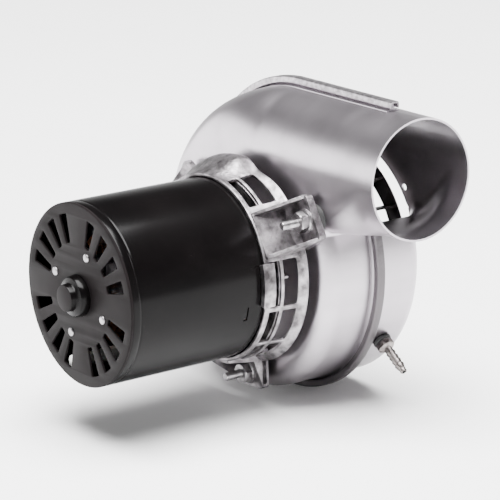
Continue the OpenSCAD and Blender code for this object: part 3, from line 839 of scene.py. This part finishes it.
def lug(bm, angle):
    """Two gussets, a floor, an end plate, and the boss that the nut bears on."""
    place = radial_frame(angle)
    for side in (-1, 1):
        offset = Matrix.Translation((0, 0, side * (LUG_HALF_WIDTH - GUSSET_T / 2)))
        slab_outline(bm, gusset_outline(angle, side), GUSSET_T, place @ offset)
    front = COLLAR_FRONT + 1.0
    back = LUG_FRONT + 0.4
    floor = [(LUG_ROOT_R, front), (MOTOR_R + 2.1, front), (MOTOR_R + 3.4, back), (LUG_ROOT_R, back)]
    slab_outline(bm, floor, 20.0, place)
    w = LUG_HALF_WIDTH
    outline = rounded([(MOTOR_R - 1, -w), (LUG_END_R, -w), (LUG_END_R, w), (MOTOR_R - 1, w)],
                      lambda i: 2.6 if i in (1, 2) else 0.1, 4)
    # Turns the outline to lie across the shaft
    swap = Matrix(((1, 0, 0, 0), (0, 0, 1, 0), (0, 1, 0, 0), (0, 0, 0, 1)))
    middle = Matrix.Translation((0, (LUG_FRONT + LUG_BACK) / 2, 0))
    slab_outline(bm, outline, LUG_BACK - LUG_FRONT, place @ middle @ swap)
    lathe(bm, [(0, LUG_FRONT + 1), (BOSS_R, LUG_FRONT + 1), (BOSS_R, LUG_FRONT - 0.25),
               (BOSS_R - 0.4, NUT_SEAT_Y), (0, NUT_SEAT_Y)], centres(STUD_R, [angle])[0], 40)


def raised_pad(bm):
    """The pad on the cage's front edge, on the outlet side."""
    bottom, top = MOTOR_R + 0.35, MOTOR_R + 3.2
    front, back = COLLAR_FRONT - 1.8, COLLAR_FRONT + 4.4
    corners = ((bottom, front), (top, front), (top, back), (bottom, back))

    def section(angle):
        return [polar(r, angle, y) for r, y in corners]

    steps = spread(PAD_START, PAD_END, 9)
    for a, b in zip(steps, steps[1:]):
        grid_faces(bm, [section(a), section(b)], closed_columns=True)
    for angle in (PAD_START, PAD_END):
        bm.faces.new([bm.verts.new(p) for p in section(angle)])


def build_lugs():
    bm = bmesh.new()
    for angle in STUD_ANGLES:
        lug(bm, angle)
    raised_pad(bm)
    obj = add_object("collar_lugs", finish_mesh(bm, "collar_lugs", 35), "root", CAST, ())
    cast_edges(obj, 0.45)


def build_web():
    """The disc inside the collar that carries the front bearing, and the bearing's boss."""
    front, back = -74.8, -72.7
    bore_r, boss_r, boss_y = 8.0, 11.5, -81.1
    air_holes = [circle_points(6, 32, centre) for centre in centres(27, range(30, 390, 60))]
    discs = [circle_points(MOTOR_R + 1.0, 128), circle_points(bore_r, 48)]
    bm = flat_plate("web", discs + air_holes, front, back, 0.3)
    lathe(bm, [(bore_r, boss_y), (boss_r - 0.3, boss_y), (boss_r, boss_y + 0.3), (boss_r, front + 0.2),
               (bore_r, front + 0.2)], steps=64)
    add_object("collar_web", finish_mesh(bm, "collar_web"), "root", CAST, ())


# ---------- Fasteners ----------

def threaded(r, y0, y1, pitch=0.7):
    """A rod's outline, of (radius, y) points, with thread ridges between y0 and y1."""
    points = [(0, y0), (r - 0.5, y0), (r - 0.25, y0 + 0.4)]
    count = int((y1 - y0 - 1) / pitch)
    for i in range(count):
        y = y0 + 0.5 + i * pitch
        points += [(r - 0.28, y), (r, y + pitch * 0.45), (r - 0.02, y + pitch * 0.55)]
    points += [(r - 0.25, y1), (0, y1)]
    return points


def build_studs():
    """Threaded studs, each with a round head inside the front shell."""
    bm = bmesh.new()
    thread_r, head_r, head_t = 2.05, 2.7, 1.0
    y_low = low("mounting_studs", Y)
    y_head = Y_FRONT + SHEET
    head = [(0, y_head), (head_r, y_head), (head_r, y_head + head_t), (0, y_head + head_t)]
    for centre in centres(STUD_R, STUD_ANGLES):
        lathe(bm, threaded(thread_r, y_low, y_head), centre, 32)
        lathe(bm, rounded(head, lambda i: 0.5 if i == 2 else 0.0), centre, 40)
    add_object("stud_set", finish_mesh(bm, "stud_set"), "root", ZINC, ["mounting_studs"])


NUT_FLAT_R = 8.7 / 2
NUT_BORE_R = 2.1
NUT_T = 4.4
NUT_STEPS = 72


def nut_radius(turn, chamfered):
    """A nut's outside radius at a turn from the middle of one of its flats."""
    corner = NUT_FLAT_R / math.cos(math.radians(30))
    hexagon = NUT_FLAT_R / math.cos((turn + math.pi / 6) % (math.pi / 3) - math.pi / 6)
    return min(hexagon, NUT_FLAT_R * 0.97 if chamfered else corner * 0.995)


def build_nuts():
    """Flanged hexagon nuts with chamfered corners."""
    bm = bmesh.new()
    turns = [2 * math.pi * i / NUT_STEPS for i in range(NUT_STEPS)]
    flange = [(2.2, 0), (5.4, 0), (5.4, 0.35), (4.7, 0.8), (2.2, 0.8)]
    sides = [nut_radius(a, False) for a in turns]
    chamfer = [nut_radius(a, True) for a in turns]
    bore = [NUT_BORE_R] * NUT_STEPS
    levels = ((0, sides), (NUT_T - 0.55, sides), (NUT_T, chamfer), (NUT_T, bore), (0, bore))
    for n, (x, z) in enumerate(centres(STUD_R, STUD_ANGLES)):
        # Each nut was left at its own turn
        start = math.radians(11 + 17 * n)
        rows = []
        for height, radii in levels:
            y = NUT_SEAT_Y - height
            rows.append([Vector((x + r * math.cos(a + start), y, z + r * math.sin(a + start)))
                         for a, r in zip(turns, radii)])
        grid_faces(bm, rows, closed_rows=True, closed_columns=True)
        lathe(bm, [(r, NUT_SEAT_Y - h) for r, h in flange], (x, z), 40)
    add_object("nut_set", finish_mesh(bm, "nut_set", 30), "root", ZINC, ["lock_nuts"])


def build_spacers():
    """Rubber spacers, a little waisted, between the lugs and the front shell."""
    bm = bmesh.new()
    bore_r, end_r, waist_r = 2.1, 7, 6.7
    outline = rounded([(bore_r, LUG_BACK), (end_r, LUG_BACK), (waist_r, (LUG_BACK + Y_FRONT) / 2),
                       (end_r, Y_FRONT), (bore_r, Y_FRONT)], lambda i: 0.4 if 0 < i < 4 else 0.0)
    for centre in centres(STUD_R, STUD_ANGLES):
        lathe(bm, outline, centre, 48)
    add_object("spacer_set", finish_mesh(bm, "spacer_set"), "root", RUBBER, ["stud_spacers"])


# ---------- Pressure tap ----------

TAP_ANGLE = -35
TAP_Y = -16.0
TAP_BORE_R = 1.1
BARB_HEIGHTS = (8.5, 11.0, 13.5, 16.0)
KNURL_STEPS = 48
KNURL_DEPTH = 0.22


def tap_place():
    """Maps the tap's own space into the frame: Z runs out of the scroll's wall, from its surface."""
    a = math.radians(TAP_ANGLE)
    out = Vector((math.cos(a), 0, math.sin(a)))
    foot = Vector((ARC_RIGHT[0], TAP_Y, ARC_RIGHT[1])) + out * ARC_RIGHT[2]
    side = Vector((0, 1, 0))
    return axes_matrix(side, out.cross(side), out, foot)


def build_tap_barb():
    bm = bmesh.new()
    place = tap_place()
    base = [(TAP_BORE_R, -2), (3.2, -2), (3.2, 2.1), (3.9, 2.4), (3.9, 5.2), (3.5, 5.6), (2.0, 6.2),
            (1.9, 8.4)]
    ridges = []
    for h in BARB_HEIGHTS:
        ridges += [(2.3, h), (2.28, h + 0.35), (1.72, h + 2.4)]
    tip = [(1.6, 18.6), (1.6, 20.1), (1.45, 20.4), (TAP_BORE_R, 20.4)]
    lathe(bm, base + ridges + tip, steps=40, place=place)
    # Knurled collar
    rows = []
    for h, r in ((2.45, 3.9), (2.8, 4.15), (4.9, 4.15), (5.2, 3.9)):
        row = []
        for i in range(KNURL_STEPS):
            a = 2 * math.pi * i / KNURL_STEPS
            ridge_r = r - KNURL_DEPTH * (i % 2)
            row.append(place @ Vector((ridge_r * math.cos(a), ridge_r * math.sin(a), h)))
        rows.append(row)
    grid_faces(bm, rows, closed_columns=True)
    add_object("tap_barb", finish_mesh(bm, "tap_barb", 30), "root", DULL_BRASS, ["pressure_tap"])


def build_tap_bush():
    """The rubber bush that holds the tap in the wall, with a groove round its middle."""
    bm = bmesh.new()
    bore_r = 3.25
    outline = rounded([(bore_r, -1.8), (4.6, -1.8), (4.6, -1.2), (4, -1.0), (4, 0.3), (4.5, 0.5), (4.4, 1.5),
                       (3.8, 2.1), (bore_r, 2.1)], 0.3)
    lathe(bm, outline, steps=48, place=tap_place())
    add_object("tap_bush", finish_mesh(bm, "tap_bush", 50), "root", RUBBER, ["tap_grommet"])


# ---------- Motor ----------

CAN_STEPS = 192
CAN_BORE_R = MOTOR_R - SHEET
PLATE_T = 1.2
PLATE_BACK = FACE_Y + PLATE_T
# A hooked slit cut through the can near the collar: its levels along Y, and its steps round the can
SLIT_LEVELS = (-92.5, -91.2, -90.4)
SLIT_STEPS = range(181, 186)


def cut_slit(bm, outer, inner):
    """Opens the slit's cells in both skins of the can, and walls its sides.
    Both skins' vertices are indexed [step][level]."""
    cells = [(step, 1) for step in SLIT_STEPS] + [(SLIT_STEPS[0], 0)]
    sides = []
    for i, j in cells:
        corners = ((i, j), (i + 1, j), (i + 1, j + 1), (i, j + 1))
        for skin in (outer, inner):
            bm.faces.remove(bm.faces.get([skin[m][n] for m, n in corners]))
        sides += [tuple(sorted(pair)) for pair in zip(corners, corners[1:] + corners[:1])]
    for a, b in sides:
        if sides.count((a, b)) == 1:
            bm.faces.new((outer[a[0]][a[1]], outer[b[0]][b[1]], inner[b[0]][b[1]], inner[a[0]][a[1]]))


def build_motor_shell():
    """The can, with a shallow rolled bead behind the end plate."""
    bm = bmesh.new()
    bead_start, bead_width, bead_depth = PLATE_BACK + 3.2, 1.8, 0.22
    outline = [(CAN_BORE_R, PLATE_BACK), (MOTOR_R - 0.4, PLATE_BACK), (MOTOR_R - 0.1, PLATE_BACK + 0.15),
               (MOTOR_R, PLATE_BACK + 0.5)]
    for t in spread(0, 1, 9):
        outline.append((MOTOR_R - bead_depth * math.sin(math.pi * t) ** 2, bead_start + bead_width * t))
    slit_at = len(outline)
    outline += [(MOTOR_R, y) for y in SLIT_LEVELS] + [(MOTOR_R, SHELL_END_Y), (CAN_BORE_R, SHELL_END_Y)]
    outline += [(CAN_BORE_R, y) for y in reversed(SLIT_LEVELS)]
    verts = lathe(bm, outline, steps=CAN_STEPS)
    count = len(SLIT_LEVELS)
    cut_slit(bm, [row[slit_at:slit_at + count] for row in verts], [row[:-count - 1:-1] for row in verts])
    mesh = finish_mesh(bm, "motor_can", 40)
    add_object("motor_can", mesh, "root", BLACK_ENAMEL, ["motor_shell"])


# Four groups of four slots
SLOT_ANGLES = [90 * group + 18 + 18 * i for group in range(4) for i in range(4)]
SLOT_INNER_R, SLOT_OUTER_R = 23.7, 36.9
SLOT_INNER_HALF, SLOT_OUTER_HALF = 1.65, 3.05
DOME_R = 9.7
DOME_TOP = 7.9
RIVET_CIRCLE_R = 20
RIVET_SHANK_R = 1.55
RIVET_HEAD_R = 1.95


def slot_outline(angle):
    """One tapered vent slot with softened corners."""
    a = math.radians(angle)
    points = rounded([(SLOT_INNER_R, -SLOT_INNER_HALF), (SLOT_OUTER_R, -SLOT_OUTER_HALF),
                      (SLOT_OUTER_R, SLOT_OUTER_HALF), (SLOT_INNER_R, SLOT_INNER_HALF)], 0.9, 4)
    return [(u * math.cos(a) - v * math.sin(a), u * math.sin(a) + v * math.cos(a)) for u, v in points]


def build_end_plate():
    """A flat plate with vent slots, a rim turned down over the can, and a domed cap over the bearing."""
    slots = [slot_outline(a) for a in SLOT_ANGLES]
    discs = [circle_points(MOTOR_R - 0.25, CAN_STEPS), circle_points(9.2, 64)]
    bm = flat_plate("plate", discs + slots, FACE_Y, PLATE_BACK, 0.3)
    lathe(bm, [(MOTOR_R - 0.7, PLATE_BACK), (MOTOR_R - 0.7, FACE_Y + 0.3), (MOTOR_R - 0.3, FACE_Y + 0.05),
               (MOTOR_R, FACE_Y + 0.35), (MOTOR_R, PLATE_BACK)], steps=CAN_STEPS)
    # The cap's outside as (radius, height), up to its flat nose, and back down its inside
    outside = [(9.3, -1.1), (9.6, -0.2), (9.5, 0.9), (9.2, 3.4), (8.6, 4.2), (7.2, 4.6), (6.5, 4.9),
               (6.3, 5.4), (6.2, 7.2), (6.0, 7.7), (5.4, DOME_TOP), (0, DOME_TOP)]
    inside = [(0, 7.0), (5.0, 6.9), (7.6, 3.6), (8.4, -1.1)]
    lathe(bm, [(r, FACE_Y - h) for r, h in outside + inside], steps=96)
    mesh = finish_mesh(bm, "end_cover", 35)
    add_object("end_cover", mesh, "root", GREY_ENAMEL, ["vented_end_plate"])
    # The cap is gloss black, up to its flat nose
    mesh.materials.append(BLACK_ENAMEL)
    for poly in mesh.polygons:
        centre = poly.center / MM
        in_height = FACE_Y - DOME_TOP + 0.15 < centre.y < FACE_Y - 0.15
        poly.material_index = 1 if in_height and from_shaft(centre) < DOME_R else 0


def build_rivets():
    bm = bmesh.new()
    brim_y = FACE_Y - 0.25
    outline = [(0, FACE_Y + 2.6), (RIVET_SHANK_R, FACE_Y + 2.6), (RIVET_SHANK_R, FACE_Y + 0.1),
               (RIVET_HEAD_R, FACE_Y), (RIVET_HEAD_R, brim_y)]
    for t in spread(0.25, math.pi / 2, 6):
        outline.append((RIVET_HEAD_R * math.cos(t), brim_y - 0.65 * math.sin(t)))
    for centre in centres(RIVET_CIRCLE_R, range(69, 429, 90)):
        lathe(bm, outline, centre, 32)
    add_object("rivet_set", finish_mesh(bm, "rivet_set", 60), "root", ZINC, ["end_plate_rivets"])


# ---------- Impeller ----------

BACK_PLATE_T = 1.0
RING_T = 0.8
RING_BORE_R = 39
BLADE_COUNT = 20
BLADE_T = 0.8
BLADE_ROOT_R, BLADE_TIP_R = 31.0, 48.0
WHEEL_BACK = low("impeller_back_plate", Y)
WHEEL_FRONT = high("impeller_inlet_ring", Y)


def build_wheel_discs():
    """The impeller's back plate and inlet ring."""
    rim = circle_points(WHEEL_R - 0.1, 160)
    bm = flat_plate("plate", [rim, circle_points(10, 48)], WHEEL_BACK, WHEEL_BACK + BACK_PLATE_T, 0.25)
    add_object("wheel_back_plate", finish_mesh(bm, "wheel_back_plate"), "rotor", WHEEL_STEEL,
               ["impeller_back_plate"])
    bm = flat_plate("ring", [rim, circle_points(RING_BORE_R, 128)], WHEEL_FRONT - RING_T, WHEEL_FRONT, 0.2)
    add_object("wheel_ring", finish_mesh(bm, "wheel_ring"), "rotor", WHEEL_STEEL,
               ["impeller_inlet_ring"])


def blade_rows():
    """A curved blade's corners from root to tip, as rows of (radius, y, sideways)."""
    line = [(BLADE_ROOT_R + (BLADE_TIP_R - BLADE_ROOT_R) * t, 1.5 * t - 6.0 * t * t) for t in spread(0, 1, 9)]
    y0, y1 = WHEEL_BACK + BACK_PLATE_T, WHEEL_FRONT - RING_T
    rows = []
    for k, (r, s) in enumerate(line):
        before, after = line[max(k - 1, 0)], line[min(k + 1, len(line) - 1)]
        run = Vector((after[0] - before[0], after[1] - before[1])).normalized()
        off = Vector((-run.y, run.x)) * BLADE_T / 2
        rows.append([(r + off.x, y0, s + off.y), (r + off.x, y1, s + off.y),
                     (r - off.x, y1, s - off.y), (r - off.x, y0, s - off.y)])
    return rows


def build_blades():
    bm = bmesh.new()
    blade = blade_rows()
    for i in range(BLADE_COUNT):
        place = radial_frame(360 / BLADE_COUNT * i)
        rows = [[place @ Vector(corner) for corner in row] for row in blade]
        verts = grid_faces(bm, rows, closed_columns=True)
        bm.faces.new(verts[0])
        bm.faces.new(verts[-1])
    add_object("wheel_blades", finish_mesh(bm, "wheel_blades", 40), "rotor", WHEEL_STEEL,
               ["impeller_blades"])


# ---------- Inner nodes, which keep their CAD shape ----------

NODE_MATERIALS = {
    "shaft_seal": FIBRE, "seal_retainer": STRIP_STEEL, "seal_rivets": ZINC,
    "rear_bearing_bracket": STRIP_STEEL, "rear_bearing": BRONZE, "rear_oil_felt": FELT,
    "front_bearing": BRONZE, "front_oil_felt": FELT, "front_bearing_retainer": STRIP_STEEL,
    "retainer_screws": ZINC, "stator_core": LAMINATION, "stator_windings": COPPER_WIRE,
    "slot_liners": WHITE_PLASTIC, "thermal_protector": WHITE_PLASTIC, "lead_grommet": RUBBER,
    "shaft": GROUND_STEEL, "rotor_core": LAMINATION, "rotor_end_rings": CAST,
    "thrust_washers": BLACK_PLASTIC, "cooling_fan": CAST, "fan_clip": GROUND_STEEL,
    "impeller_hub": GROUND_STEEL, "hub_set_screw": BLACK_OXIDE,
}


def paint_nodes():
    for name, material in NODE_MATERIALS.items():
        mesh = NODES[name].data
        mesh.materials.clear()
        mesh.materials.append(material)


# ---------- Studio ----------

# The photograph's viewing angle in degrees, the point it looks at and how far off in metres, and the lens
AZIMUTH, ELEVATION, ROLL = 53.9, 15.486, -0.962
AIM = Vector((0.0410, -0.0893, 0.0182))
DISTANCE = 1.289
LENS = 208.8
FLOOR_GAP = 0.0002
# The room's brightness by the height of the direction, from the horizon and below it (0) to overhead (1)
ROOM_TONES = ((0.0, 0.75), (0.12, 0.75), (0.30, 0.34), (0.48, 0.08), (0.75, 0.08), (1.0, 0.2))


def direction(azimuth, elevation):
    """The direction out from the object at an azimuth and an elevation."""
    az, el = math.radians(azimuth), math.radians(elevation)
    return Vector((math.sin(az) * math.cos(el), -math.cos(az) * math.cos(el), math.sin(el)))


def view_axes():
    """The camera's right, up and backward directions."""
    az, roll = math.radians(AZIMUTH), math.radians(ROLL)
    back = direction(AZIMUTH, ELEVATION)
    level = Vector((math.cos(az), math.sin(az), 0))
    rise = back.cross(level)
    right = level * math.cos(roll) + rise * math.sin(roll)
    up = -level * math.sin(roll) + rise * math.cos(roll)
    return right, up, back


def build_camera():
    data = bpy.data.cameras.new("camera")
    data.lens = LENS
    data.sensor_width = 36
    camera = bpy.data.objects.new("camera", data)
    bpy.context.scene.collection.objects.link(camera)
    right, up, back = view_axes()
    camera.matrix_world = axes_matrix(right, up, back, AIM + back * DISTANCE)
    bpy.context.scene.camera = camera


def build_floor():
    bm = bmesh.new()
    bmesh.ops.create_grid(bm, x_segments=1, y_segments=1, size=6.0)
    mesh = bpy.data.meshes.new("floor")
    bm.to_mesh(mesh)
    bm.free()
    floor = bpy.data.objects.new("floor", mesh)
    bpy.context.scene.collection.objects.link(floor)
    floor.location.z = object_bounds()[0][2] - FLOOR_GAP
    pale = surface("Pale floor", (0.93, 0.93, 0.93), (0.96, 0.96, 0.96), 0.0, (0.6, 0.7), scale=3, grain=200,
                   bump=0.01, bump_height=0.0002, specular=0.2)
    mesh.materials.append(pale)


def area_light(name, azimuth, elevation, distance, size, power):
    """A soft light aimed at the object, placed by its direction from it."""
    data = bpy.data.lights.new(name, "AREA")
    data.shape = "RECTANGLE"
    data.size, data.size_y = size
    data.energy = power
    light = bpy.data.objects.new(name, data)
    bpy.context.scene.collection.objects.link(light)
    out = direction(azimuth, elevation)
    light.location = AIM + out * distance
    light.rotation_euler = out.to_track_quat("Z", "Y").to_euler()


def build_world():
    world = bpy.data.worlds.new("studio")
    world.use_nodes = True
    nodes, links = world.node_tree.nodes, world.node_tree.links
    back = nodes["Background"]
    place = nodes.new("ShaderNodeTexCoord")
    split = nodes.new("ShaderNodeSeparateXYZ")
    ramp = nodes.new("ShaderNodeValToRGB")
    links.new(place.outputs["Generated"], split.inputs["Vector"])
    links.new(split.outputs["Z"], ramp.inputs["Fac"])
    stops = ramp.color_ramp.elements
    for position, _ in ROOM_TONES[1:-1]:
        stops.new(position)
    for stop, (_, tone) in zip(stops, ROOM_TONES):
        stop.color = (tone, tone, tone, 1)
    links.new(ramp.outputs["Color"], back.inputs["Color"])
    back.inputs["Strength"].default_value = 1.4
    bpy.context.scene.world = world


build_shell(-1, "front_shell_skin", "front_scroll_shell",
            [(0, 0, SHAFT_HOLE_R, 48)] + hole_circle(STUD_R, STUD_ANGLES, STUD_HOLE_R))
build_shell(1, "rear_shell_skin", "rear_scroll_shell",
            hole_circle(MOUNT_CIRCLE_R, MOUNT_ANGLES, MOUNT_HOLE_R))
build_seam_strip()
build_cage()
build_lugs()
build_web()
build_studs()
build_nuts()
build_spacers()
build_tap_barb()
build_tap_bush()
build_motor_shell()
build_end_plate()
build_rivets()
build_wheel_discs()
build_blades()
paint_nodes()
build_camera()
build_floor()
build_world()
area_light("key", 60, 80, 2.6, (2.2, 2.2), 520)
area_light("card", -60, 8, 1.6, (1.7, 0.62), 14)

bpy.context.view_layer.update()
